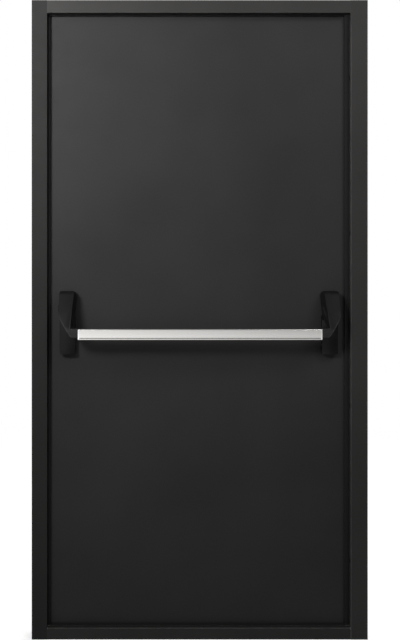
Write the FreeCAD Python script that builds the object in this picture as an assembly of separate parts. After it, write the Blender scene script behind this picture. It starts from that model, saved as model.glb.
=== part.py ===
import FreeCAD, Part
import math
import os

# A steel exit door in its own folded-steel frame, with a lever push bar on the room side.
# X runs along the wall, hinge side at -X. Y runs from the room to the outside. Z is up.
# The origin is under the middle of the sill, halfway through the frame's depth.

V = FreeCAD.Vector
os.makedirs("parts", exist_ok=True)

# Frame, in millimetres
frame_width = 1080.0
frame_height = 2055.0
frame_depth = 90.0
frame_sheet = 2.0
frame_bend = 1.5
inner_bend = 0.8
hinge_face = 49.7
lock_face = 55.2
head_face = 41.5
sill_face = 38.0
hinge_step = 6.6
lock_step = 13.8
head_step = 2.8
sill_step = 4.0
reveal_depth = 20.0
jamb_wall = 30.0
sill_wall = 20.0
anchor_radius = 6.0
anchor_end = 250.0
anchor_pitch = 500.0

# Rubber edge seal on the stop flange
seal_wall = 1.5
seal_grip = 7.0
seal_clearance = 0.5
seal_round = 0.6
leaf_stand_off = 6.0

# Leaf
leaf_thickness = 60.0
leaf_sheet = 1.5
leaf_bend = 2.0
hinge_gap = 6.0
lock_gap = 8.0
head_gap = 6.0
sill_gap = 6.0

# Lock in the leaf edge, and its strike in the jamb
forend_length = 235.0
forend_width = 24.0
forend_thickness = 3.0
case_length = 165.0
case_width = 16.0
case_depth = 85.0
latch_width = 12.0
latch_height = 20.0
latch_length = 42.0
strike_length = 160.0
strike_width = 26.0
strike_hole_margin = 4.0

# Flag hinges on the outside
hinge_ends = 250.0
flag_height = 62.0
flag_width = 46.0
flag_plate = 4.0
frame_flag_margin = 2.0
knuckle_radius = 11.0
axis_stand_off = 14.0
hinge_pin_radius = 7.0
pin_clearance = 0.05
pin_reach = 48.0
washer_thickness = 2.0
bearing_gap = 0.3
knuckle_round = 1.5

# Push bar
bar_height = 985.75
bar_stand_off = 90.0
bar_depth = 20.0
bar_tall = 35.0
bar_round = 6.0
bar_crown = 1.5
bar_crown_round = 140.0
bar_wall = 2.0
groove_from_bottom = 5.2
groove_width = 2.0
groove_depth = 1.5
collar_length = 4.5
spigot_length = 25.0
spigot_clearance = 0.3

# Bar housings on the leaf
housing_margin = 64.9
housing_width = 51.0
housing_drop = 148.0
base_depth = 27.0
base_crown = 5.0
base_round = 5.0
shoulder_drop = 26.0
shoulder_slope = 16.0
back_plate = 3.0
plate_inset = 3.0
neck_width = 18.0
neck_rise = 27.0
neck_root = 20.0

# Lever arms and their pivot
pivot_above_bar = 78.25
pivot_reach = 28.0
pivot_pin_radius = 5.0
boss_radius = 13.0
boss_outer = 28.0
boss_inner = 26.0
bearing_lip = 1.0
bearing_clearance = 0.5
slot_clearance = 3.0
slot_front_clearance = 9.0
slot_top_clearance = 8.0
foot_reach = 38.2
foot_lift = 4.5
foot_nose = 1.5
foot_taper = 6.0
heel_reach = 18.0
heel_round = 24.0
elbow_drop = 25.0
elbow_round = 60.0
crook_round = 4.0
arm_rise = 55.5
arm_outer = 24.0
arm_inner_top = 23.0
arm_inner_foot = 13.0
flank_spread = 8.0
flank_draft = 0.2
arm_stand_off = 8.0
brow_reach = 16.0
brow_round = 20.0
shoulder_round = 5.0
inner_shoulder_round = 15.0
nose_round = 60.0
chin_round = 6.0

# Places worked out from the sizes above
front = -frame_depth / 2
back = frame_depth / 2
left = -frame_width / 2
right = frame_width / 2
stop_front = front + reveal_depth
stop_back = stop_front + 2 * frame_sheet
leaf_front = stop_back + leaf_stand_off
leaf_back = leaf_front + leaf_thickness
leaf_left = left + jamb_wall + hinge_gap
leaf_right = right - jamb_wall - lock_gap
leaf_bottom = sill_wall + sill_gap
leaf_top = frame_height - jamb_wall - head_gap
bar_middle = (hinge_face - lock_face) / 2
hinge_axis_x = left + jamb_wall + hinge_gap / 2
hinge_axis_y = leaf_back + axis_stand_off
pivot_y = leaf_front - pivot_reach
bar_y = leaf_front - bar_stand_off
pivot_height = bar_height + pivot_above_bar
housing_spacing = frame_width - hinge_face - lock_face - 2 * housing_margin
bar_length = housing_spacing - 2 * foot_reach
collar_inner_end = bar_length / 2 - collar_length


def save(name, shape):
    shape.exportStep("parts/" + name + ".step")


def outline(corners, place):
    """A closed outline through (a, b, radius) corners, each rounded by its radius, placed in space."""
    rounds = []
    for i, (a, b, radius) in enumerate(corners):
        here = V(a, b, 0)
        before = V(*corners[i - 1][:2], 0)
        after = V(*corners[(i + 1) % len(corners)][:2], 0)
        to_before = (before - here).normalize()
        to_after = (after - here).normalize()
        half_angle = to_before.getAngle(to_after) / 2
        reach = radius / math.tan(half_angle)
        depth = radius / math.sin(half_angle) - radius
        middle = here + (to_before + to_after).normalize() * depth
        rounds.append((here + to_before * reach, middle, here + to_after * reach))
    edges = []
    for i, (start, middle, end) in enumerate(rounds):
        if (end - start).Length > 1e-6:
            arc = Part.Arc(place(start.x, start.y), place(middle.x, middle.y), place(end.x, end.y))
            edges.append(arc.toShape())
        following = rounds[(i + 1) % len(rounds)][0]
        if (following - end).Length > 1e-6:
            edges.append(Part.makeLine(place(end.x, end.y), place(following.x, following.y)))
    return Part.Wire(edges)


def prism(corners, place, along):
    return Part.Face(outline(corners, place)).extrude(along)


def box(x0, x1, y0, y1, z0, z1):
    return Part.makeBox(x1 - x0, y1 - y0, z1 - z0, V(x0, y0, z0))


def rod(radius, length, start, along):
    return Part.makeCylinder(radius, length, start, along)


def one_solid(shape):
    return shape.removeSplitter().Solids[0]


# Frame members: one folded section, placed on each side of the opening

def on_hinge_side(inward, depth):
    return V(left + inward, depth, 0)


def on_lock_side(inward, depth):
    return V(right - inward, depth, 0)


def on_head(inward, depth):
    return V(left, depth, frame_height - inward)


def on_sill(inward, depth):
    return V(left, depth, inward)


up = V(0, 0, frame_height)
across = V(frame_width, 0, 0)


def folded_section(face, step, wall, bend, fold, hem):
    edge = face + step
    return [
        (0, front, bend),
        (face, front, bend),
        (face, stop_front, fold),
        (edge, stop_front, hem),
        (edge, stop_back, hem),
        (wall, stop_back, fold),
        (wall, back, bend),
        (0, back, bend),
    ]


def hollow_section(face, wall):
    lining = frame_sheet
    return [
        (lining, front + lining, 0),
        (face - lining, front + lining, 0),
        (face - lining, stop_front + lining, 0),
        (wall - lining, stop_front + lining, 0),
        (wall - lining, back - lining, 0),
        (lining, back - lining, 0),
    ]


def frame_member(face, step, wall, place, along):
    hem = frame_sheet * 0.9
    body = prism(folded_section(face, step, wall, frame_bend, inner_bend, hem), place, along)
    hollow = prism(hollow_section(face, wall), place, along)
    return body, hollow


def filled(face, step, wall, place, along):
    return prism(folded_section(face, step, wall, 0, 0, 0), place, along)


capped = box(left, right, front, back, frame_sheet, frame_height - frame_sheet)
anchor_depth = front + reveal_depth / 2
anchor_heights = [
    anchor_end,
    anchor_end + anchor_pitch,
    frame_height - anchor_end - anchor_pitch,
    frame_height - anchor_end,
]


def flush_corner(face, place, bottom, height):
    """Squares a jamb's front bend where its face runs on into a cross member's face."""
    def on_jamb(inward, depth):
        return place(inward, depth) + V(0, 0, bottom)

    return prism(
        [
            (face - frame_bend, front, 0),
            (face, front, 0),
            (face, front + frame_bend, 0),
            (face - frame_bend, front + frame_bend, 0),
        ],
        on_jamb, V(0, 0, height),
    )


def jamb(face, step, place):
    body, hollow = frame_member(face, step, jamb_wall, place, up)
    foot_corner = flush_corner(face, place, 0, sill_face - frame_bend)
    head_corner = flush_corner(face, place, frame_height - head_face + frame_bend, head_face - frame_bend)
    body = body.fuse([foot_corner, head_corner]).cut(hollow.common(capped))
    outside = place(0, anchor_depth)
    toward = (place(face, anchor_depth) - outside).normalize()
    holes = [rod(anchor_radius, face, outside + V(0, 0, z), toward) for z in anchor_heights]
    return body.cut(Part.makeCompound(holes))


hinge_jamb = jamb(hinge_face, hinge_step, on_hinge_side)
lock_jamb = jamb(lock_face, lock_step, on_lock_side)
jamb_space = filled(hinge_face, hinge_step, jamb_wall, on_hinge_side, up)
jamb_space = jamb_space.fuse(filled(lock_face, lock_step, jamb_wall, on_lock_side, up))


def cross_member(face, step, wall, place):
    body, hollow = frame_member(face, step, wall, place, across)
    return one_solid(body.cut(hollow).cut(jamb_space))


save("frame_head", cross_member(head_face, head_step, jamb_wall, on_head))
save("frame_sill", cross_member(sill_face, sill_step, sill_wall, on_sill))

# Rubber seals that grip the stop flange's edge and bulge toward the leaf

seal_back = leaf_front - seal_clearance


def seal_section(face, step):
    edge = face + step
    rim = edge + seal_wall
    return [
        (face + seal_round, stop_front - seal_wall, seal_round),
        (rim, stop_front - seal_wall, seal_round),
        (rim, seal_back, 2 * seal_wall),
        (edge - seal_grip, seal_back, 2 * seal_wall),
        (edge - seal_grip, stop_back, 0),
        (edge, stop_back, 0),
        (edge, stop_front, 0),
        (face + seal_round, stop_front, 0),
    ]


def seal(face, step, wall, place, along, clear_space):
    strip = prism(seal_section(face, step), place, along)
    flange = prism(folded_section(face, step, wall, 0, 0, 0), place, along)
    return one_solid(strip.cut(flange).common(clear_space))


sill_rim = sill_face + sill_step + seal_wall
head_rim = frame_height - head_face - head_step - seal_wall
hinge_edge = left + hinge_face + hinge_step
lock_edge = right - lock_face - lock_step
between_rims = box(left, right, front, back, sill_rim, head_rim)
between_jambs = box(hinge_edge, lock_edge, front, back, 0, frame_height)
save("hinge_side_seal", seal(hinge_face, hinge_step, jamb_wall, on_hinge_side, up, between_rims))
save("lock_side_seal", seal(lock_face, lock_step, jamb_wall, on_lock_side, up, between_rims))
save("head_seal", seal(head_face, head_step, jamb_wall, on_head, across, between_jambs))
save("sill_seal", seal(sill_face, sill_step, sill_wall, on_sill, across, between_jambs))

# Strike plate, let flush into the lock jamb's rebate

strike_face = right - jamb_wall
strike_middle = (leaf_front + leaf_back) / 2


def lock_window(x0, x1, width, length):
    half_width = width / 2
    half_length = length / 2
    return box(
        x0, x1,
        strike_middle - half_width, strike_middle + half_width,
        bar_height - half_length, bar_height + half_length,
    )


strike_hole_width = latch_width + 2 * strike_hole_margin
strike_hole_height = latch_height + 2 * strike_hole_margin
strike_back = strike_face + frame_sheet
strike = lock_window(strike_face, strike_back, strike_width, strike_length)
strike_hole = lock_window(strike_face, strike_back, strike_hole_width, strike_hole_height)
save("strike_plate", strike.cut(strike_hole))
save("hinge_jamb", one_solid(hinge_jamb))
save("lock_jamb", one_solid(lock_jamb.cut(strike)))

# Leaf: a folded inner tray, a flat outer sheet and the insulation between them

leaf_block = box(leaf_left, leaf_right, leaf_front, leaf_back, leaf_bottom, leaf_top)
front_edges = [e for e in leaf_block.Edges if e.BoundBox.YMax < leaf_front + leaf_sheet]
leaf_block = leaf_block.makeFillet(leaf_bend, front_edges)
leaf_filling = box(
    leaf_left + leaf_sheet, leaf_right - leaf_sheet,
    leaf_front + leaf_sheet, leaf_back - leaf_sheet,
    leaf_bottom + leaf_sheet, leaf_top - leaf_sheet,
)
outer_slab = box(leaf_left, leaf_right, leaf_back - leaf_sheet, leaf_back, leaf_bottom, leaf_top)
forend = lock_window(leaf_right - forend_thickness, leaf_right, forend_width, forend_length)
case_back = leaf_right - forend_thickness - case_depth
case = lock_window(case_back, leaf_right - forend_thickness, case_width, case_length)
latch = lock_window(leaf_right - latch_length, leaf_right, latch_width, latch_height)
save("leaf_inner_tray", one_solid(leaf_block.cut(leaf_filling).cut(outer_slab).cut(forend)))
save("leaf_outer_sheet", outer_slab)
save("leaf_core", one_solid(leaf_filling.cut(forend).cut(case)))
save("lock_forend", forend.cut(latch))
save("lock_case", case.cut(latch))
save("latch_bolt", latch)

# Flag hinges: the frame's half below, the leaf's half above, a pin and a thrust washer between

hinge_heights = {
    "lower": hinge_ends,
    "middle": frame_height / 2,
    "upper": frame_height - hinge_ends,
}


def flag(direction, width, bottom, bore_from):
    """A cranked plate and its knuckle, reaching from the hinge axis along +X or -X."""
    def place(reach, stand_off):
        return V(hinge_axis_x + direction * reach, leaf_back + stand_off, bottom)

    height = V(0, 0, flag_height)
    crank = knuckle_radius
    plate = prism(
        [
            (hinge_gap / 2, 0, 0),
            (width, 0, 0),
            (width, flag_plate, knuckle_round),
            (crank + flag_plate, flag_plate, 2 * flag_plate),
            (crank, axis_stand_off, 0),
            (0, axis_stand_off, 0),
            (0, flag_plate, 0),
        ],
        place, height,
    )
    foot = place(0, axis_stand_off)
    knuckle = rod(knuckle_radius, flag_height, foot, V(0, 0, 1))
    free_end = bottom if bore_from else bottom + flag_height
    rims = [e for e in knuckle.Edges if abs(e.BoundBox.ZMin - free_end) + e.BoundBox.ZLength < 0.01]
    knuckle = knuckle.makeChamfer(knuckle_round, rims)
    bore = rod(hinge_pin_radius + pin_clearance, pin_reach, foot + V(0, 0, bore_from), V(0, 0, 1))
    return one_solid(plate.fuse(knuckle).cut(bore))


for name, height in hinge_heights.items():
    washer_bottom = height - washer_thickness / 2
    leaf_half_bottom = washer_bottom + washer_thickness + bearing_gap
    frame_half_bottom = washer_bottom - flag_height
    axis_foot = V(hinge_axis_x, hinge_axis_y, 0)
    frame_flag_width = jamb_wall + hinge_gap / 2 - frame_flag_margin
    save(name + "_hinge_frame_half",
         flag(-1, frame_flag_width, frame_half_bottom, flag_height - pin_reach))
    save(name + "_hinge_leaf_half", flag(1, flag_width, leaf_half_bottom, 0))
    pin_bottom = washer_bottom - pin_reach
    pin_length = 2 * pin_reach + washer_thickness
    pin = rod(hinge_pin_radius, pin_length, axis_foot + V(0, 0, pin_bottom), V(0, 0, 1))
    save(name + "_hinge_pin", pin)
    ring = rod(knuckle_radius, washer_thickness, axis_foot + V(0, 0, washer_bottom), V(0, 0, 1))
    ring_hole = rod(hinge_pin_radius + pin_clearance, washer_thickness,
                    axis_foot + V(0, 0, washer_bottom), V(0, 0, 1))
    save(name + "_hinge_washer", ring.cut(ring_hole))

# Push bar: a hollow aluminium section with a groove, a collar and a plug at each end


crown_angle = math.atan(2 * bar_crown / bar_tall)
bar_apex = bar_depth / 2 + bar_crown_round * (1 / math.cos(crown_angle) - 1)


def bar_section(inset, x):
    """The bar's outline with its crowned front, drawn inward by inset."""
    def place(depth, height):
        return V(x, bar_y + depth, bar_height + height)

    half_depth = bar_depth / 2 - inset
    half_tall = bar_tall / 2 - inset
    corner = bar_round - inset
    edge_depth = bar_apex - inset - half_tall * math.tan(crown_angle)
    corners = [
        (-edge_depth, -half_tall, corner / 2),
        (half_depth, -half_tall, corner),
        (half_depth, half_tall, corner),
        (-edge_depth, half_tall, corner / 2),
        (inset - bar_apex, 0, bar_crown_round - inset),
    ]
    return corners, place


def bar_prism(inset, x0, x1):
    corners, place = bar_section(inset, x0)
    return prism(corners, place, V(x1 - x0, 0, 0))


def bar_plug(x0, x1):
    return bar_prism(bar_wall + spigot_clearance, x0, x1)


tube_x0 = bar_middle - collar_inner_end
tube_x1 = bar_middle + collar_inner_end
groove_z = bar_height - bar_tall / 2 + groove_from_bottom
bar_face = bar_y - bar_depth / 2
groove = box(tube_x0, tube_x1, bar_face, bar_face + groove_depth, groove_z, groove_z + groove_width)
tube = bar_prism(0, tube_x0, tube_x1).cut(bar_prism(bar_wall, tube_x0, tube_x1)).cut(groove)
save("push_bar_tube", one_solid(tube))

# Housings on the leaf, and the lever arms that turn on them

housing_bottom = pivot_height - housing_drop
shoulder = pivot_height - shoulder_drop
neck_top = pivot_height + neck_rise
slot_half = neck_width / 2 + slot_clearance
bearing_half = slot_half - bearing_clearance
foot_top = bar_height + bar_tall / 2
foot_bottom = bar_height - bar_tall / 2 + foot_lift
arm_top = pivot_height + arm_rise
brow_depth = pivot_reach + brow_reach
bar_front = bar_stand_off + bar_depth / 2 + foot_nose
bar_rear = bar_stand_off - bar_depth / 2
pin_bore_radius = pivot_pin_radius + pin_clearance
inward_axis = {1: V(1, 0, 0), -1: V(-1, 0, 0)}


def housing(middle):
    """A crowned base with a sloping shoulder, and a narrow neck that carries the arm's pivot."""
    half = housing_width / 2
    plate_half = half - plate_inset
    flank_depth = base_depth - base_crown
    neck_front = pivot_reach + boss_radius - slot_clearance

    def plan(a, b):
        return V(middle + a, leaf_front - b, housing_bottom)

    def elevation(a, b):
        return V(middle + a, leaf_front, b)

    def side(a, b):
        return V(middle - half, leaf_front - a, b)

    def neck_side(a, b):
        return V(middle - neck_width / 2, leaf_front - a, b)

    crown = Part.Arc(plan(half, flank_depth), plan(0, base_depth), plan(-half, flank_depth))
    crowned = Part.Wire([
        Part.makeLine(plan(-half, 0), plan(half, 0)),
        Part.makeLine(plan(half, 0), plan(half, flank_depth)),
        crown.toShape(),
        Part.makeLine(plan(-half, flank_depth), plan(-half, 0)),
    ])
    block = Part.Face(crowned).extrude(V(0, 0, shoulder - housing_bottom))
    face_shape = prism(
        [
            (-half, housing_bottom, base_round),
            (half, housing_bottom, base_round),
            (half, shoulder, 0),
            (-half, shoulder, 0),
        ],
        elevation, V(0, -base_depth, 0),
    )
    side_shape = prism(
        [
            (0, housing_bottom, 0),
            (base_depth, housing_bottom, 0),
            (base_depth, shoulder - shoulder_slope, base_round),
            (base_depth - shoulder_slope, shoulder, 0),
            (0, shoulder, 0),
        ],
        side, V(housing_width, 0, 0),
    )
    neck = prism(
        [
            (0, shoulder - neck_root, 0),
            (flank_depth, shoulder - neck_root, 0),
            (neck_front, pivot_height - boss_radius, boss_radius / 2),
            (neck_front, pivot_height + boss_radius, boss_radius),
            (pivot_reach - slot_clearance, neck_top, boss_radius / 2),
            (0, neck_top, 0),
        ],
        neck_side, V(neck_width, 0, 0),
    )
    plate = prism(
        [
            (-plate_half, shoulder, 0),
            (plate_half, shoulder, 0),
            (plate_half, arm_top - plate_inset, base_round),
            (-plate_half, arm_top - plate_inset, base_round),
        ],
        elevation, V(0, -back_plate, 0),
    )
    bearing_start = V(middle - bearing_half, pivot_y, pivot_height)
    bearing = rod(boss_radius - bearing_lip, 2 * bearing_half, bearing_start, V(1, 0, 0))
    bore = rod(pin_bore_radius, 2 * bearing_half, bearing_start, V(1, 0, 0))
    base = block.common(face_shape).common(side_shape)
    return one_solid(base.fuse([neck, plate, bearing]).cut(bore))


def hooked_outline(middle, inward):
    """The arm as seen from the room: a stem that sweeps round into a foot at the bar's end."""
    def front_view(a, b):
        return V(middle + inward * a, leaf_front, b)

    return prism(
        [
            (-arm_outer, arm_top, shoulder_round),
            (arm_inner_top + flank_spread, arm_top, inner_shoulder_round),
            (arm_inner_foot + flank_spread, foot_top, crook_round),
            (foot_reach, foot_top, 0),
            (foot_reach, foot_bottom, 0),
            (heel_reach, foot_bottom, heel_round),
            (-arm_outer, pivot_height - elbow_drop, elbow_round),
        ],
        front_view, V(0, -bar_stand_off - bar_depth, 0),
    )


def lever_outline(middle, inward):
    """The arm as seen from its side: a lever that leans out from the pivot to the bar."""
    def side_view(a, b):
        return V(middle - inward * 2 * arm_outer, leaf_front - a, b)

    return prism(
        [
            (arm_stand_off, arm_top, crook_round),
            (brow_depth, arm_top, brow_round),
            (bar_front, foot_top, nose_round),
            (bar_front, foot_bottom, chin_round),
            (bar_rear, foot_bottom, chin_round / 2),
            (bar_rear - foot_taper, foot_top, 2 * crook_round),
            (arm_stand_off + bearing_lip, pivot_height, crook_round),
        ],
        side_view, V(inward * 2 * (arm_outer + foot_reach), 0, 0),
    )


def inner_flank(middle, inward):
    """What is cut off the stem's inner side, so that it widens from the front toward the leaf."""
    stem_height = arm_top - foot_top

    def on_flank(height, depth):
        front_x = arm_inner_foot + (arm_inner_top - arm_inner_foot) * height / stem_height
        front_depth = bar_front + (brow_depth - bar_front) * height / stem_height
        x = front_x + flank_draft * (front_depth - depth)
        return V(middle + inward * x, leaf_front - depth, foot_top + height)

    above_arm = stem_height + shoulder_round
    corners = [
        on_flank(0, 0),
        on_flank(above_arm, 0),
        on_flank(above_arm, bar_front + foot_nose),
        on_flank(0, bar_front + foot_nose),
    ]
    cutter = Part.Face(Part.makePolygon(corners + corners[:1]))
    return cutter.extrude(inward_axis[inward] * (foot_reach + arm_inner_top))


def lever_arm(middle, inward):
    """A hooked arm: its front outline and its side outline, crossed, then forked round the neck."""
    def slot_side(a, b):
        return V(middle - slot_half, leaf_front - a, b)

    arm = hooked_outline(middle, inward).common(lever_outline(middle, inward))
    arm = arm.cut(inner_flank(middle, inward))
    boss_start = V(middle - inward * boss_outer, pivot_y, pivot_height)
    boss_length = boss_outer + boss_inner
    boss = rod(boss_radius, boss_length, boss_start, inward_axis[inward])
    bore = rod(pin_bore_radius, boss_length, boss_start, inward_axis[inward])
    slot_front = pivot_reach + boss_radius + slot_front_clearance
    slot_top = neck_top + slot_top_clearance
    slot = prism(
        [
            (-back_plate, foot_top, 0),
            (slot_front, foot_top, 0),
            (slot_front, pivot_height + chin_round, chin_round),
            (pivot_reach + slot_top_clearance, slot_top, boss_radius),
            (-back_plate, slot_top, 0),
        ],
        slot_side, V(2 * slot_half, 0, 0),
    )
    foot_x = middle + inward * foot_reach
    tip_x = foot_x + inward * (collar_length + spigot_length)
    plug = bar_plug(min(foot_x, tip_x), max(foot_x, tip_x))
    return one_solid(arm.fuse(boss).cut(slot).cut(bore).fuse(plug))


for name, inward in (("left", 1), ("right", -1)):
    middle = bar_middle - inward * housing_spacing / 2
    save(name + "_bar_housing", housing(middle))
    save(name + "_bar_arm", lever_arm(middle, inward))
    pin_start = V(middle - inward * boss_outer, pivot_y, pivot_height)
    save(name + "_pivot_pin",
         rod(pivot_pin_radius, boss_outer + boss_inner, pin_start, inward_axis[inward]))
    ends = sorted([middle + inward * foot_reach, middle + inward * (foot_reach + collar_length)])
    collar = bar_prism(0, ends[0], ends[1]).cut(bar_plug(ends[0], ends[1]))
    save(name + "_bar_collar", one_solid(collar))
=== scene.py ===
# %% [markdown]
# # A steel exit door with a push bar
# The solid model brings every sheet, hinge and lever in its right place and size.
# What is left for Blender is how the door looks: paint, rubber, aluminium, screws and light.
# The first cell loads the solids and keeps their outer box, which later cells measure from.

# %% Load the solids
import math

import bmesh
import bpy
from mathutils import Matrix, Vector


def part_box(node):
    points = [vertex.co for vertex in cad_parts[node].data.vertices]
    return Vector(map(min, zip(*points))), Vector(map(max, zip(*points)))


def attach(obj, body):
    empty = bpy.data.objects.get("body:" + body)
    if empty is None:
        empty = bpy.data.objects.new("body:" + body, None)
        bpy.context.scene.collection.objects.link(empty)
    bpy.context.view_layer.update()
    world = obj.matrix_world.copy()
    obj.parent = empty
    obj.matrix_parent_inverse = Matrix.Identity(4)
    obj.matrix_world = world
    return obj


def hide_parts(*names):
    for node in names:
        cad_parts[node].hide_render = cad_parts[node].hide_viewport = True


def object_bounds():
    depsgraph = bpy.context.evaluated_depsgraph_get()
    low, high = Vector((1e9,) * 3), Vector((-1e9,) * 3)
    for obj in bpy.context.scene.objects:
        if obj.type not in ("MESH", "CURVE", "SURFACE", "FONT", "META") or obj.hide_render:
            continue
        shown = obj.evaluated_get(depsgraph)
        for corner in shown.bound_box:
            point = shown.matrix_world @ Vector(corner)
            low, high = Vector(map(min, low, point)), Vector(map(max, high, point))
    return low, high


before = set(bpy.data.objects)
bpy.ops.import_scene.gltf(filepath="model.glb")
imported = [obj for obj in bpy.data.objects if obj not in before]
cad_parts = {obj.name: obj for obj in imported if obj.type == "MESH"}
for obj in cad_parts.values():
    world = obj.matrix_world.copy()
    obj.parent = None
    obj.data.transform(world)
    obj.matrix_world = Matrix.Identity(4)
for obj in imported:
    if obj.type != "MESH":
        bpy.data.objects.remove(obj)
solid_low, solid_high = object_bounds()
scene = bpy.context.scene
scene.view_settings.view_transform = "Standard"
print("solids:", len(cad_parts), "box", tuple(solid_low), tuple(solid_high))

# %% [markdown]
# ## Camera
# The picture is square-on: upright lines stay upright, and only the reveal on the right is wide.
# So the camera looks straight along +Y from left of the middle, a little above half height.
# It could be turned toward the door instead, but then the upright edges would lean. A lens shift
# slides the frame back over the door, as a view camera does, and keeps them upright.

# %% Camera
camera_data = bpy.data.cameras.new("square_on_camera")
camera_data.lens = 56.03
camera_data.sensor_width = 36.0
camera_data.shift_x = 0.086
camera_data.shift_y = -0.1163
camera = bpy.data.objects.new("square_on_camera", camera_data)
camera.location = (-0.176, -3.245, 1.266)
camera.rotation_euler = (math.radians(90), 0, 0)
scene.collection.objects.link(camera)
scene.camera = camera
print("camera at", tuple(camera.location))

# %% [markdown]
# ## Three small node helpers
# The room, the floor and the paints all need the same few moves: stretch a value from one run onto
# another, multiply two values, and blend two shaders. Written once as helpers that take the node
# tree, they keep the later cells down to what matters in them.


# %% Node helpers
def ramp(tree, value, start, end, at_start=0.0, at_end=1.0):
    """Map the run from start to end onto another run, and hold it beyond both ends."""
    node = tree.nodes.new("ShaderNodeMapRange")
    node.inputs["From Min"].default_value = start
    node.inputs["From Max"].default_value = end
    node.inputs["To Min"].default_value = at_start
    node.inputs["To Max"].default_value = at_end
    tree.links.new(value, node.inputs["Value"])
    return node.outputs["Result"]


def product(tree, first, second):
    node = tree.nodes.new("ShaderNodeMath")
    node.operation = "MULTIPLY"
    tree.links.new(first, node.inputs[0])
    tree.links.new(second, node.inputs[1])
    return node.outputs["Value"]


def blend_shaders(tree, share, at_none, at_full):
    node = tree.nodes.new("ShaderNodeMixShader")
    tree.links.new(share, node.inputs["Fac"])
    tree.links.new(at_none, node.inputs[1])
    tree.links.new(at_full, node.inputs[2])
    return node.outputs["Shader"]


print("node helpers are ready")

# %% [markdown]
# ## Light
# The paint is brightest at the upper left and darkest at the foot, and each lever throws its shadow
# toward the middle. That is a softbox high on the left, small enough for the lever's shadow to keep
# its shape, a larger and weaker one still higher on the right, which draws the soft shadow under the
# head, and a dim room around them. The white background is there only for rays that reach it
# directly: a room as bright as that would wash the black paint out. Metal shows little but what it
# reflects, so it gets a white room of its own, which fades as a real studio does away from its big
# window.

# %% Dim room and white backdrop
white = (1, 1, 1, 1)
world = bpy.data.worlds.new("white_studio")
world.use_nodes = True
scene.world = world
sky = world.node_tree
room = sky.nodes["Background"]
room.inputs["Color"].default_value = white
room.inputs["Strength"].default_value = 0.125
backdrop = sky.nodes.new("ShaderNodeBackground")
backdrop.inputs["Color"].default_value = white
backdrop.inputs["Strength"].default_value = 1.0
print("the room is", room.inputs["Strength"].default_value, "as bright as the backdrop")

# %% What metal sees of the room: white on the left, dimmer to the right, overhead and below
studio_walls = sky.nodes.new("ShaderNodeBackground")
studio_walls.inputs["Color"].default_value = white
look = sky.nodes.new("ShaderNodeTexCoord")
look_axes = sky.nodes.new("ShaderNodeSeparateXYZ")
sky.links.new(look.outputs["Generated"], look_axes.inputs["Vector"])
to_right = ramp(sky, look_axes.outputs["X"], start=-0.25, end=0.33, at_start=1.4, at_end=0.33)
overhead = ramp(sky, look_axes.outputs["Z"], start=-0.3, end=0.6, at_start=1.18, at_end=0.2)
below = ramp(sky, look_axes.outputs["Z"], start=-0.2, end=-0.8, at_start=1.05, at_end=0.3)
wall_brightness = product(sky, product(sky, to_right, overhead), below)
sky.links.new(wall_brightness, studio_walls.inputs["Strength"])
print("metal sees its own room")

# %% Choose the room by the kind of ray
ray = sky.nodes.new("ShaderNodeLightPath")
room_or_walls = blend_shaders(
    sky, ray.outputs["Is Glossy Ray"], room.outputs["Background"], studio_walls.outputs["Background"])
seen_or_not = blend_shaders(
    sky, ray.outputs["Is Camera Ray"], room_or_walls, backdrop.outputs["Background"])
sky.links.new(seen_or_not, sky.nodes["World Output"].inputs["Surface"])
print("the world has", len(sky.nodes), "nodes")


# %% Softboxes
def softbox(name, place, aim, width, height, watts, spread):
    lamp_data = bpy.data.lights.new(name, "AREA")
    lamp_data.shape = "RECTANGLE"
    lamp_data.size = width
    lamp_data.size_y = height
    lamp_data.energy = watts
    lamp_data.spread = math.radians(spread)
    lamp = bpy.data.objects.new(name, lamp_data)
    lamp.location = place
    lamp.rotation_euler = (Vector(aim) - Vector(place)).to_track_quat("-Z", "Y").to_euler()
    scene.collection.objects.link(lamp)


softbox(
    "left_softbox", place=(-1.5, -2.4, 2.35), aim=(-0.68, 0, 1.93),
    width=0.7, height=0.6, watts=16.6, spread=80)
softbox(
    "right_softbox", place=(1.5, -2.0, 3.2), aim=(0.3, 0, 1.6),
    width=1.2, height=1.0, watts=10.7, spread=110)
softbox(
    "rear_softbox", place=(0.6, 3.0, 2.8), aim=(0, 0, 1.1),
    width=2.0, height=1.6, watts=60, spread=180)

# %% [markdown]
# ## Floor
# A plain pale floor carries the door's shadow. With no glow it would be grey all over and end in a
# line at the horizon. So to the camera it glows: near the door just enough to lift the lit floor to
# white, so that only the shadow stays grey. Far away it is all glow, and runs into the white behind
# it. Metal looks through it to the room below, which keeps the long reflection in the bar smooth.

# %% Floor shape
floor_reach = 30
floor_shape = bmesh.new()
bmesh.ops.create_grid(floor_shape, x_segments=1, y_segments=1, size=floor_reach)
floor_mesh = bpy.data.meshes.new("studio_floor")
floor_shape.to_mesh(floor_mesh)
floor_shape.free()
floor = bpy.data.objects.new("studio_floor", floor_mesh)
scene.collection.objects.link(floor)
print("the floor reaches", floor_reach, "m each way")

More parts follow.
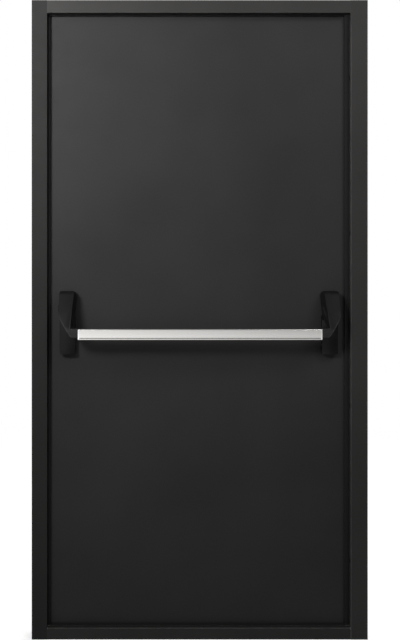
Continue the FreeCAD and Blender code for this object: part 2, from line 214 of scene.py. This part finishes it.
# %% Floor paint: grey for the door, white with a glow for the camera
floor_paint = bpy.data.materials.new("pale_floor")
floor_paint.use_nodes = True
floor_tree = floor_paint.node_tree
grey_floor = floor_tree.nodes["Principled BSDF"]
grey_floor.inputs["Base Color"].default_value = (0.5, 0.5, 0.5, 1)
grey_floor.inputs["Roughness"].default_value = 0.9
white_floor = floor_tree.nodes.new("ShaderNodeBsdfDiffuse")
white_floor.inputs["Color"].default_value = (0.8, 0.8, 0.8, 1)
near_glow = floor_tree.nodes.new("ShaderNodeEmission")
near_glow.inputs["Strength"].default_value = 0.67
far_glow = floor_tree.nodes.new("ShaderNodeEmission")
far_glow.inputs["Strength"].default_value = 1.0
near_floor = floor_tree.nodes.new("ShaderNodeAddShader")
floor_tree.links.new(white_floor.outputs["BSDF"], near_floor.inputs[0])
floor_tree.links.new(near_glow.outputs["Emission"], near_floor.inputs[1])
floor_place = floor_tree.nodes.new("ShaderNodeTexCoord")
floor_distance = floor_tree.nodes.new("ShaderNodeVectorMath")
floor_distance.operation = "LENGTH"
floor_tree.links.new(floor_place.outputs["Object"], floor_distance.inputs[0])
far_share = ramp(floor_tree, floor_distance.outputs["Value"], start=0.8, end=4.0)
bright_floor = blend_shaders(
    floor_tree, far_share, near_floor.outputs["Shader"], far_glow.outputs["Emission"])
print("the floor has its paint")

# %% Choose the floor by the kind of ray
floor_ray = floor_tree.nodes.new("ShaderNodeLightPath")
no_floor = floor_tree.nodes.new("ShaderNodeBsdfTransparent")
seen_floor = blend_shaders(
    floor_tree, floor_ray.outputs["Is Camera Ray"], grey_floor.outputs["BSDF"], bright_floor)
floor_for_all = blend_shaders(
    floor_tree, floor_ray.outputs["Is Glossy Ray"], seen_floor, no_floor.outputs["BSDF"])
floor_tree.links.new(floor_for_all, floor_tree.nodes["Material Output"].inputs["Surface"])
floor_mesh.materials.append(floor_paint)
print("floor is staged")

# %% [markdown]
# ## Powder coat
# Baked powder leaves a very fine orange-peel skin. Its colour drifts a little over a large sheet,
# and its gloss changes with it. An image could carry that, but it would need a UV map on every
# sheet and would blur close up. Noise read from Object coordinates needs no map, stays sharp, and
# stays put on every sheet. The small bump is what breaks up the highlights along the folds.


# %% Start a material, and read a pattern on the object
def skin_of(material):
    """The sockets of the shader that is the material's outer skin."""
    return material.node_tree.nodes["Principled BSDF"].inputs


def start_material(name, color, roughness, metallic=0.0, gloss=0.5):
    material = bpy.data.materials.new(name)
    material.use_nodes = True
    skin = skin_of(material)
    skin["Base Color"].default_value = (*color, 1)
    skin["Roughness"].default_value = roughness
    skin["Metallic"].default_value = metallic
    skin["Specular IOR Level"].default_value = gloss
    return material


def noise(material, scale, detail=2.0, stretch=(1, 1, 1)):
    tree = material.node_tree
    place = tree.nodes.new("ShaderNodeTexCoord")
    mapping = tree.nodes.new("ShaderNodeMapping")
    mapping.inputs["Scale"].default_value = stretch
    texture = tree.nodes.new("ShaderNodeTexNoise")
    texture.inputs["Scale"].default_value = scale
    texture.inputs["Detail"].default_value = detail
    tree.links.new(place.outputs["Object"], mapping.inputs["Vector"])
    tree.links.new(mapping.outputs["Vector"], texture.inputs["Vector"])
    return texture.outputs["Fac"]


def height_share(material, start, end):
    """Read the height on the object, as 0 at one level and 1 at another."""
    tree = material.node_tree
    place = tree.nodes.new("ShaderNodeTexCoord")
    axes = tree.nodes.new("ShaderNodeSeparateXYZ")
    tree.links.new(place.outputs["Object"], axes.inputs["Vector"])
    return ramp(tree, axes.outputs["Z"], start, end)


print("patterns can be read")

# %% [markdown]
# A pattern can do three things to a finish: change its roughness, drift its colour, or raise a
# bump. Noise seldom leaves the middle of its range from 0 to 1, so that middle is stretched first.


# %% Put a pattern to use
noise_low = 0.3
noise_high = 0.7
drift_low = 0.35
drift_high = 0.65


def vary_roughness(material, pattern, low, high):
    tree = material.node_tree
    roughness = ramp(tree, pattern, noise_low, noise_high, low, high)
    tree.links.new(roughness, skin_of(material)["Roughness"])


def tint(material, pattern, dark, light):
    """Let a pattern drift between two colours."""
    tree = material.node_tree
    drift = tree.nodes.new("ShaderNodeValToRGB")
    dark_end, light_end = drift.color_ramp.elements
    dark_end.position = drift_low
    light_end.position = drift_high
    dark_end.color = (*dark, 1)
    light_end.color = (*light, 1)
    tree.links.new(pattern, drift.inputs["Fac"])
    tree.links.new(drift.outputs["Color"], skin_of(material)["Base Color"])


def relief(material, pattern, depth, under=None):
    """Turn a pattern into a bump, stacked on an earlier one if there is one."""
    tree = material.node_tree
    bump = tree.nodes.new("ShaderNodeBump")
    bump.inputs["Strength"].default_value = 1.0
    bump.inputs["Distance"].default_value = depth
    tree.links.new(pattern, bump.inputs["Height"])
    if under:
        tree.links.new(under.outputs["Normal"], bump.inputs["Normal"])
    tree.links.new(bump.outputs["Normal"], skin_of(material)["Normal"])
    return bump


print("patterns can be used")

# %% [markdown]
# Paint runs thin over a folded edge, and hands and tools rub it there. A bend also catches the light
# in a thin highlight, and that highlight is painted in as well. Such edges could be painted by hand,
# but the Bevel node finds them by itself: its rounded normal leans away from the true one only close
# to an edge. That lean, broken up by noise, lets a lighter colour through: rubbed paint and a painted
# highlight in one. The joints in the frame's corners are filled and stay dark, so the paler edge is
# also given two heights: where it starts and where it is full.


# %% Paler edges: painted highlights and rubbed paint
least_lean = 0.995
full_lean = 0.85


# Paints an edge paler: a painted highlight where the bend catches the light, together with rubbed paint.
def highlit_and_rubbed_edges(material, reach, color, edge_light_heights):
    tree = material.node_tree
    paint = skin_of(material)["Base Color"]
    rounded = tree.nodes.new("ShaderNodeBevel")
    rounded.samples = 6
    rounded.inputs["Radius"].default_value = reach
    surface = tree.nodes.new("ShaderNodeNewGeometry")
    lean = tree.nodes.new("ShaderNodeVectorMath")
    lean.operation = "DOT_PRODUCT"
    tree.links.new(rounded.outputs["Normal"], lean.inputs[0])
    tree.links.new(surface.outputs["True Normal"], lean.inputs[1])
    at_edge = ramp(tree, lean.outputs["Value"], least_lean, full_lean)
    broken = product(tree, at_edge, noise(material, scale=35.0, detail=4.0))
    edge_light_share = product(tree, broken, height_share(material, *edge_light_heights))
    blend = tree.nodes.new("ShaderNodeMix")
    blend.data_type = "RGBA"
    blend.inputs["B"].default_value = (*color, 1)
    tree.links.new(paint.links[0].from_socket, blend.inputs["A"])
    tree.links.new(edge_light_share, blend.inputs["Factor"])
    tree.links.new(blend.outputs["Result"], paint)


print("edges can be rubbed")

# %% [markdown]
# Each frame member has a coat of its own, slightly darker or lighter than the leaf: the head and the
# lock jamb are painted lighter, as painted light, and the hinge jamb darker, as painted shade. One
# function makes them all, from the colour, the sheet's waviness and how many times paler an edge is
# painted. The lock jamb's lip and the sill's top edge are painted palest, as painted highlights along
# their bends, together with rubbed paint.


# %% A coat of powder
color_drift = 0.1
roughness_drift = 0.04
edge_light_reach = 0.004
peel_depth = 0.00006
# Heights where the paler edges start and where they are full; a paler edge is a painted highlight
# together with rubbed paint.
edge_light_all_over = (3.0, 2.9)
edge_light_under_head = (2.0, 1.96)
edge_light_over_sill_joint = (0.031, 0.036)


def powder_coat(name, color, roughness, waviness, edge_lightening, gloss=0.12, edge_light_heights=edge_light_all_over):
    material = start_material(name, color, roughness, gloss=gloss)
    darker = [c * (1 - color_drift) for c in color]
    lighter = [c * (1 + color_drift) for c in color]
    tint(material, noise(material, scale=3.0, detail=3.0), darker, lighter)
    # The edges are painted paler: a painted highlight along the bend, with rubbed paint.
    highlit_and_rubbed_edges(material, edge_light_reach, [c * edge_lightening for c in color], edge_light_heights)
    smoother = roughness - roughness_drift
    rougher = roughness + roughness_drift
    vary_roughness(material, noise(material, scale=40.0, detail=4.0), smoother, rougher)
    sheet = relief(material, noise(material, scale=1.6, detail=0.0), waviness)
    relief(material, noise(material, scale=650.0), peel_depth, under=sheet)
    return material


print("a rubbed edge reaches", edge_light_reach, "m")

# %% Paint on the frame, the leaf and the hinges
# These colours carry painted light and shade: the head and the lock jamb are painted lighter, the hinge
# jamb darker. The large edge factors on the lock jamb and the sill paint the highlights on their bends.
hinge_jamb_shaded_paint = powder_coat(
    "hinge_jamb_shaded_powder_coat", (0.024, 0.0235, 0.023), roughness=0.5, waviness=0.0008, edge_lightening=1.5, gloss=0.09)
lock_jamb_lit_paint = powder_coat(
    "lock_jamb_lit_powder_coat", (0.038, 0.037, 0.036), roughness=0.46, waviness=0.0008, edge_lightening=9.0,
    edge_light_heights=edge_light_under_head)
head_lit_paint = powder_coat(
    "head_lit_powder_coat", (0.041, 0.04, 0.039), roughness=0.48, waviness=0.0008, edge_lightening=1.5)
sill_paint = powder_coat(
    "sill_powder_coat", (0.031, 0.03, 0.0295), roughness=0.46, waviness=0.0008, edge_lightening=14.0,
    edge_light_heights=edge_light_over_sill_joint)
leaf_paint = powder_coat(
    "leaf_powder_coat", (0.032, 0.031, 0.031), roughness=0.5, waviness=0.002, edge_lightening=1.5)
hinge_paint = powder_coat(
    "hinge_powder_coat", (0.03, 0.03, 0.03), roughness=0.45, waviness=0.0002, edge_lightening=3.0)
print("paints are ready")

# %% [markdown]
# ## Rubber, moulded covers and the levers
# The edge seal is soft black rubber with almost no shine. The covers on the leaf are moulded,
# with a fine spark-eroded grain. The levers are painted castings. Their black is painted lighter
# toward the foot, beside the bar, as painted light on the foot, and palest along the lower edges,
# as a painted highlight on their rim. A second material at the foot would end in a line, so the
# colour follows the height instead.

# %% Rubber and covers
seal_rubber = start_material("black_edge_rubber", (0.02, 0.02, 0.02), roughness=0.75, gloss=0.1)
vary_roughness(seal_rubber, noise(seal_rubber, scale=90.0, detail=3.0), low=0.65, high=0.85)
relief(seal_rubber, noise(seal_rubber, scale=900.0), depth=0.00008)

cover_plastic = start_material("moulded_cover", (0.01, 0.01, 0.01), roughness=0.42, gloss=0.1)
cover_cloud = noise(cover_plastic, scale=25.0)
tint(cover_plastic, cover_cloud, dark=(0.009, 0.009, 0.009), light=(0.011, 0.011, 0.011))
vary_roughness(cover_plastic, noise(cover_plastic, scale=160.0), low=0.38, high=0.46)
relief(cover_plastic, noise(cover_plastic, scale=1400.0, detail=1.0), depth=0.00008)
print("rubber and covers are ready")

# %% Lever paint
lever_black = (0.0095, 0.0095, 0.0095)
foot_light_grey = (0.03, 0.03, 0.03)
edge_highlight_grey = (0.09, 0.09, 0.09)
foot_light_heights = (1.026, 0.98)
edge_highlight_heights = (1.06, 1.0)
lever_paint = start_material("lever_casting_paint", lever_black, roughness=0.5, gloss=0.09)
# The black is painted lighter toward the foot, as painted light.
tint(lever_paint, height_share(lever_paint, *foot_light_heights), dark=lever_black, light=foot_light_grey)
# The lower edges are painted paler, as a painted highlight on the rim.
highlit_and_rubbed_edges(lever_paint, reach=0.006, color=edge_highlight_grey, edge_light_heights=edge_highlight_heights)
vary_roughness(lever_paint, noise(lever_paint, scale=70.0, detail=3.0), low=0.44, high=0.54)
relief(lever_paint, noise(lever_paint, scale=420.0), depth=0.0001)
print("lever paint is ready")

# %% [markdown]
# ## Metals
# The bar is satin anodised aluminium, drawn through a die, so its faint grain runs along its length.
# An anisotropic shader could stretch the shine, but noise stretched along the bar shows the grain
# itself. The collars at its ends are bright-dipped, so they shine paler. Steel pins are plated,
# and washers are brass.

# %% Bar and collars
bar_metal = start_material("satin_bar_aluminium", (0.76, 0.75, 0.73), roughness=0.24, metallic=1.0)
die_lines = noise(bar_metal, scale=900.0, stretch=(0.004, 1, 1))
vary_roughness(bar_metal, die_lines, low=0.2, high=0.3)
relief(bar_metal, die_lines, depth=0.00002)

collar_metal = start_material("polished_collar", (0.92, 0.92, 0.92), roughness=0.2, metallic=1.0)
vary_roughness(collar_metal, noise(collar_metal, scale=500.0), low=0.16, high=0.24)
print("bar and collars are ready")

# %% Steel, brass and the wool in the leaf
plated_steel = start_material("plated_steel", (0.45, 0.45, 0.45), roughness=0.32, metallic=1.0)
plated_cloud = noise(plated_steel, scale=60.0, detail=3.0)
tint(plated_steel, plated_cloud, dark=(0.4, 0.4, 0.4), light=(0.5, 0.5, 0.49))
vary_roughness(plated_steel, noise(plated_steel, scale=300.0), low=0.26, high=0.4)

lock_steel = start_material("brushed_lock_steel", (0.55, 0.55, 0.54), roughness=0.3, metallic=1.0)
brush_lines = noise(lock_steel, scale=700.0, stretch=(1, 1, 0.01))
vary_roughness(lock_steel, brush_lines, low=0.24, high=0.4)
relief(lock_steel, brush_lines, depth=0.00002)

washer_brass = start_material("turned_brass", (0.6, 0.45, 0.2), roughness=0.28, metallic=1.0)
vary_roughness(washer_brass, noise(washer_brass, scale=400.0), low=0.22, high=0.36)

core_wool = start_material("mineral_wool", (0.45, 0.4, 0.28), roughness=0.95)
wool_layers = noise(core_wool, scale=200.0, detail=5.0, stretch=(1, 1, 4))
tint(core_wool, wool_layers, dark=(0.36, 0.31, 0.2), light=(0.52, 0.47, 0.34))
relief(core_wool, noise(core_wool, scale=300.0, detail=4.0), depth=0.001)
print("steel, brass and wool are ready")

# %% [markdown]
# ## Finishes onto the solids
# A solid keeps its mesh. Only the material in its slot is changed, by the ending of its name, so
# that the left and right or upper and lower pieces of a kind share a finish.

# %% Assign finishes
finish_of = {
    "hinge_jamb": hinge_jamb_shaded_paint,
    "lock_jamb": lock_jamb_lit_paint,
    "frame_head": head_lit_paint,
    "frame_sill": sill_paint,
    "seal": seal_rubber,
    "strike_plate": lock_steel,
    "leaf_inner_tray": leaf_paint,
    "leaf_outer_sheet": leaf_paint,
    "leaf_core": core_wool,
    "lock_forend": lock_steel,
    "lock_case": plated_steel,
    "latch_bolt": lock_steel,
    "_half": hinge_paint,
    "hinge_pin": plated_steel,
    "hinge_washer": washer_brass,
    "bar_housing": cover_plastic,
    "bar_arm": lever_paint,
    "pivot_pin": plated_steel,
    "push_bar_tube": bar_metal,
    "bar_collar": collar_metal,
}
for node_name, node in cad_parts.items():
    finish = next(finish_of[ending] for ending in finish_of if node_name.endswith(ending))
    node.data.materials.clear()
    node.data.materials.append(finish)
print("finished solids:", len(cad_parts))

# %% [markdown]
# ## Levers with soft edges
# A casting never has a knife edge. The solid lever is exact but sharp, so a copy of its mesh is
# merged, its flat faces are joined again, and the outer edges get a real bevel. A Bevel modifier
# would round every edge by its angle alone. Here edges that fit something else, such as the fork,
# the bore and the end against the bar, stay as they are, so the edges are picked by their place.


# %% Helpers for pieces
crease_degrees = 35
corner_degrees = 30
flat_degrees = 0.5
merge_distance = 0.00001


def add_piece(shape, name, body, material):
    mesh = bpy.data.meshes.new(name)
    shape.to_mesh(mesh)
    shape.free()
    mesh.materials.append(material)
    mesh.polygons.foreach_set("use_smooth", [True] * len(mesh.polygons))
    mesh.set_sharp_from_angle(angle=math.radians(crease_degrees))
    piece = bpy.data.objects.new(name, mesh)
    scene.collection.objects.link(piece)
    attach(piece, body)
    return piece


def merged_copy(node_name):
    shape = bmesh.new()
    shape.from_mesh(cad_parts[node_name].data)
    bmesh.ops.remove_doubles(shape, verts=shape.verts, dist=merge_distance)
    bmesh.ops.dissolve_limit(
        shape, angle_limit=math.radians(flat_degrees), verts=shape.verts, edges=shape.edges)
    return shape


def sharp_edges(shape):
    corner = math.radians(corner_degrees)
    return [e for e in shape.edges if len(e.link_faces) == 2 and e.calc_face_angle() > corner]


def edge_middle(edge):
    return (edge.verts[0].co + edge.verts[1].co) / 2


def soften(shape, edges, width):
    bmesh.ops.bevel(
        shape, geom=edges, offset=width, offset_type="OFFSET", segments=3, profile=0.5,
        affect="EDGES", clamp_overlap=True, material=-1)


print("pieces can be made")

# %% Where a lever fits something else
pivot_low, pivot_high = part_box("left_pivot_pin")
pivot = (pivot_low + pivot_high) / 2
boss_reach = 0.0145
fork_half = 0.0125
fork_front = -0.067
fork_rise = 0.04
foot_margin = 0.0004


def by_pivot(place):
    return math.hypot(place.y - pivot.y, place.z - pivot.z) < boss_reach


def in_fork(place, lever_middle):
    between = abs(place.x - lever_middle) < fork_half
    return between and place.y > fork_front and place.z < pivot.z + fork_rise


def foot_end_of(side):
    """The lever's foot ends where the bar's collar begins."""
    collar_low, collar_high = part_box(side + "_bar_collar")
    return collar_low.x if side == "left" else collar_high.x


print("levers turn about", tuple(pivot))

# %% Levers
lever_round = 0.0038
for side in ("left", "right"):
    foot_end = foot_end_of(side)
    lever_middle = sum(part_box(side + "_bar_housing"), Vector()).x / 2
    away_from_bar = math.copysign(1, lever_middle - foot_end)
    lever = merged_copy(side + "_bar_arm")
    outer = []
    for edge in sharp_edges(lever):
        place = edge_middle(edge)
        at_bar = (place.x - foot_end) * away_from_bar < foot_margin
        if not at_bar and not by_pivot(place) and not in_fork(place, lever_middle):
            outer.append(edge)
    soften(lever, outer, lever_round)
    piece = add_piece(lever, side + "_lever_casting", "push_bar", lever_paint)
    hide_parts(side + "_bar_arm")
    print(piece.name, "bevelled edges:", len(outer), "faces:", len(piece.data.polygons))

# %% [markdown]
# ## Covers with soft edges
# The covers under the levers are moulded, so their corners are rounded too. They could be built
# anew from a cube, but the same merged copy keeps their exact size, and only the edges out in the
# room are bevelled: the back lies flat on the leaf, and the neck fits the lever's fork.

# %% Covers
cover_round = 0.0015
flat_back = 0.004
neck_foot = 0.026
leaf_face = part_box("leaf_inner_tray")[0].y
for side in ("left", "right"):
    cover = merged_copy(side + "_bar_housing")
    rim = []
    for edge in sharp_edges(cover):
        place = edge_middle(edge)
        off_leaf = leaf_face - place.y > flat_back
        under_neck = place.z < pivot.z - neck_foot
        if off_leaf and under_neck and not by_pivot(place):
            rim.append(edge)
    soften(cover, rim, cover_round)
    piece = add_piece(cover, side + "_moulded_cover", "leaf", cover_plastic)
    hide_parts(side + "_bar_housing")
    print(piece.name, "bevelled edges:", len(rim))

# %% [markdown]
# ## Black strip in the bar's groove, as painted shade
# The dark line along the foot of the bar is the shade in its groove, painted in as a black rubber
# strip set into the groove. A dark stripe in the bar's material would look flat from the side, so it
# is a piece of its own: a cube is scaled to the groove and its long edges are rounded.

# %% Groove shade strip
bar_low, bar_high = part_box("push_bar_tube")
groove_foot = 0.0052
groove_width = 0.002
shade_strip_thickness = 0.0007
shade_strip_depth = 0.00105
shade_strip_round = 0.0002
long_edge = 0.1
shade_strip_size = (bar_high.x - bar_low.x, shade_strip_thickness, groove_width)
shade_strip_middle = (
    (bar_low.x + bar_high.x) / 2,
    bar_low.y + shade_strip_depth,
    bar_low.z + groove_foot + groove_width / 2,
)
# A black strip in the groove, as painted shade for the groove's dark line.
groove_shade_strip = bmesh.new()
bmesh.ops.create_cube(
    groove_shade_strip, size=1, matrix=Matrix.Translation(shade_strip_middle) @ Matrix.Diagonal((*shade_strip_size, 1)))
soften(groove_shade_strip, [e for e in groove_shade_strip.edges if e.calc_length() > long_edge], shade_strip_round)
add_piece(groove_shade_strip, "bar_groove_shade_strip", "push_bar", seal_rubber)
print("groove insert is", round(shade_strip_size[0], 3), "m long")

# %% [markdown]
# ## Screws and rivets
# Every head is turned on a lathe, and spin does the same: a short profile from the middle of the
# head to its rim goes once round the axis. A cylinder with a hole cut in it would need a boolean
# and leave long thin faces. Here the recess for the driver is part of the profile.


# %% Helper for turned heads
seam_distance = 0.000001


def turned_head(shape, profile, place, facing, steps=20):
    """Spin a profile of (radius, rise) round an axis that points where the head faces."""
    before = set(shape.verts)
    line = [shape.verts.new((radius, 0, rise)) for radius, rise in profile]
    edges = [shape.edges.new(pair) for pair in zip(line, line[1:])]
    bmesh.ops.spin(
        shape, geom=line + edges, cent=(0, 0, 0), axis=(0, 0, 1), angle=2 * math.pi,
        steps=steps, use_merge=True)
    made = [v for v in shape.verts if v not in before]
    bmesh.ops.remove_doubles(shape, verts=made, dist=seam_distance)
    made = [v for v in shape.verts if v not in before]
    turn = Vector(facing).to_track_quat("Z", "Y").to_matrix().to_4x4()
    bmesh.ops.transform(shape, matrix=Matrix.Translation(place) @ turn, verts=made)
    bmesh.ops.recalc_face_normals(shape, faces=list({f for v in made for f in v.link_faces}))


def countersunk(radius):
    """Flat head with a round driver recess: middle of the recess, recess wall, face, rim, cone."""
    return [
        (0, -0.35 * radius), (0.32 * radius, -0.3 * radius), (0.36 * radius, 0.02 * radius),
        (0.9 * radius, 0.04 * radius), (radius, 0), (0.5 * radius, -0.5 * radius),
    ]


def domed(radius, rise):
    """Rounded head with a skirt that goes a little way into what it sits on."""
    return [
        (0, rise), (0.5 * radius, 0.9 * rise), (0.85 * radius, 0.55 * rise),
        (radius, 0.1 * rise), (radius, -0.4 * rise),
    ]


print("a countersunk head has", len(countersunk(1)), "points in its profile")


# %% Screws of the lock and its strike
lock_screw_radius = 0.0045


def end_screws(node_name, name, body, facing, margin):
    low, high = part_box(node_name)
    face_x = low.x if facing < 0 else high.x
    middle_y = (low.y + high.y) / 2
    heads = bmesh.new()
    for z in (low.z + margin, high.z - margin):
        turned_head(heads, countersunk(lock_screw_radius), (face_x, middle_y, z), (facing, 0, 0))
    add_piece(heads, name, body, plated_steel)


end_screws("lock_forend", "forend_screws", "leaf", facing=1, margin=0.012)
end_screws("strike_plate", "strike_screws", "frame", facing=-1, margin=0.014)
print("lock screws are in")

# %% [markdown]
# Each pivot pin is riveted over at both ends. Two small screws hold each cover from its sides, hardly
# seen from in front, and a grub screw under the foot of the lever clamps the bar.


# %% Rivets, cover screws and grub screws
rivet_radius = 0.0085
rivet_rise = 0.0016
dome_steps = 28
small_screw_radius = 0.003
cover_screw_off_leaf = 0.011
cover_screw_rise = 0.03
grub_beside_collar = 0.009
foot_above_collar = 0.0045


def both_ends(node_name):
    low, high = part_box(node_name)
    return (low.x, -1), (high.x, 1)


for side, outward in (("left", -1), ("right", 1)):
    rivets = bmesh.new()
    for x, facing in both_ends(side + "_pivot_pin"):
        rivet = domed(rivet_radius, rivet_rise)
        turned_head(rivets, rivet, (x, pivot.y, pivot.z), (facing, 0, 0), dome_steps)
    add_piece(rivets, side + "_pivot_rivets", "push_bar", lever_paint)

    cover_screws = bmesh.new()
    screw_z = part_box(side + "_bar_housing")[0].z + cover_screw_rise
    for x, facing in both_ends(side + "_bar_housing"):
        screw_place = (x, leaf_face - cover_screw_off_leaf, screw_z)
        turned_head(cover_screws, countersunk(small_screw_radius), screw_place, (facing, 0, 0))
    add_piece(cover_screws, side + "_cover_screws", "leaf", plated_steel)

    grub = bmesh.new()
    collar_low, collar_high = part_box(side + "_bar_collar")
    grub_place = (
        foot_end_of(side) + outward * grub_beside_collar,
        (collar_low.y + collar_high.y) / 2,
        collar_low.z + foot_above_collar,
    )
    turned_head(grub, countersunk(small_screw_radius), grub_place, (0, 0, -1))
    add_piece(grub, side + "_grub_screw", "push_bar", plated_steel)
print("pivot rivets, cover screws and grub screws are in")

# %% [markdown]
# ## Plugs over the wall anchors
# The anchors go through the jambs from the reveal. Each hole is closed by a black domed plug.
# It is round, so it is turned like the screws.

# %% Anchor plugs
plug_radius = 0.0085
plug_rise = 0.0015
hinge_face_width = 0.0497
lock_face_width = 0.0552
anchor_depth = 0.01
anchor_end = 0.25
anchor_pitch = 0.5
anchor_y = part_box("hinge_jamb")[0].y + anchor_depth
door_top = solid_high.z
anchor_heights = (
    anchor_end,
    anchor_end + anchor_pitch,
    door_top - anchor_end - anchor_pitch,
    door_top - anchor_end,
)
reveal_faces = {
    "hinge": (solid_low.x + hinge_face_width, 1),
    "lock": (solid_high.x - lock_face_width, -1),
}
for jamb_side, (face_x, facing) in reveal_faces.items():
    plugs = bmesh.new()
    for z in anchor_heights:
        plug = domed(plug_radius, plug_rise)
        turned_head(plugs, plug, (face_x, anchor_y, z), (facing, 0, 0), dome_steps)
    add_piece(plugs, jamb_side + "_anchor_plugs", "frame", cover_plastic)
print("anchor plugs:", 2 * len(anchor_heights))

# %% [markdown]
# ## Weld beads round the hinge flags
# The hinges are welded on. A bead is a row of small frozen ripples. A swept tube would be too even,
# so each ripple is a squashed ball that overlaps the last. The sizes change a little by a fixed
# rule, so that every run gives the same bead.


# %% Helper for weld beads
ripple_length = 0.9
ripple_swell = 0.12
swell_turn = 2.4


def bead(shape, start, end, radius):
    run = Vector(end) - Vector(start)
    count = max(2, round(run.length / (ripple_length * radius)))
    turn = run.to_track_quat("X", "Z").to_matrix().to_4x4()
    for i in range(count + 1):
        swell = 1 + ripple_swell * math.sin(swell_turn * i)
        squash = Matrix.Diagonal((ripple_length * radius, radius * swell, radius * swell, 1))
        place = Matrix.Translation(Vector(start) + run * (i / count))
        bmesh.ops.create_uvsphere(
            shape, u_segments=8, v_segments=6, radius=1, matrix=place @ turn @ squash)


print("a ripple is", ripple_length, "of its radius long")

# %% Hinge welds
leaf_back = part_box("leaf_outer_sheet")[1].y
weld_radius = 0.0017
weld_run = {"frame": 0.018, "leaf": -0.03}
for which in ("lower", "middle", "upper"):
    for body in ("frame", "leaf"):
        low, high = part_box(which + "_hinge_" + body + "_half")
        far = low.x if body == "frame" else high.x
        near = far + weld_run[body]
        welds = bmesh.new()
        bead(welds, (far, leaf_back, low.z), (far, leaf_back, high.z), weld_radius)
        for z in (low.z, high.z):
            bead(welds, (far, leaf_back, z), (near, leaf_back, z), weld_radius)
        add_piece(welds, which + "_" + body + "_hinge_weld", body, hinge_paint)
print("hinge welds: 6")

# %% [markdown]
# ## Spot welds on the outer sheet
# The outer sheet is spot-welded to the tray. Under paint each weld is a shallow ring with a
# slightly hollow middle, and they sit in an even row near the edge. A bump in the paint would do
# from afar, but a turned ring also shows from the side.

# %% Spot welds
sheet_low, sheet_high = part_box("leaf_outer_sheet")
inset = 0.014
spot_ring = [(0, 0.00005), (0.0024, 0.0001), (0.003, 0.00035), (0.0036, 0.00035), (0.0042, -0.0001)]
spot_steps = 16
rows = 13
columns = 6
first_x, last_x = sheet_low.x + inset, sheet_high.x - inset
first_z, last_z = sheet_low.z + inset, sheet_high.z - inset
spots = bmesh.new()
for i in range(rows):
    z = first_z + (last_z - first_z) * i / (rows - 1)
    for x in (first_x, last_x):
        turned_head(spots, spot_ring, (x, leaf_back, z), (0, 1, 0), spot_steps)
for i in range(1, columns):
    x = first_x + (last_x - first_x) * i / columns
    for z in (first_z, last_z):
        turned_head(spots, spot_ring, (x, leaf_back, z), (0, 1, 0), spot_steps)
add_piece(spots, "outer_sheet_spot_welds", "leaf", leaf_paint)
print("spot welds:", 2 * rows + 2 * (columns - 1))
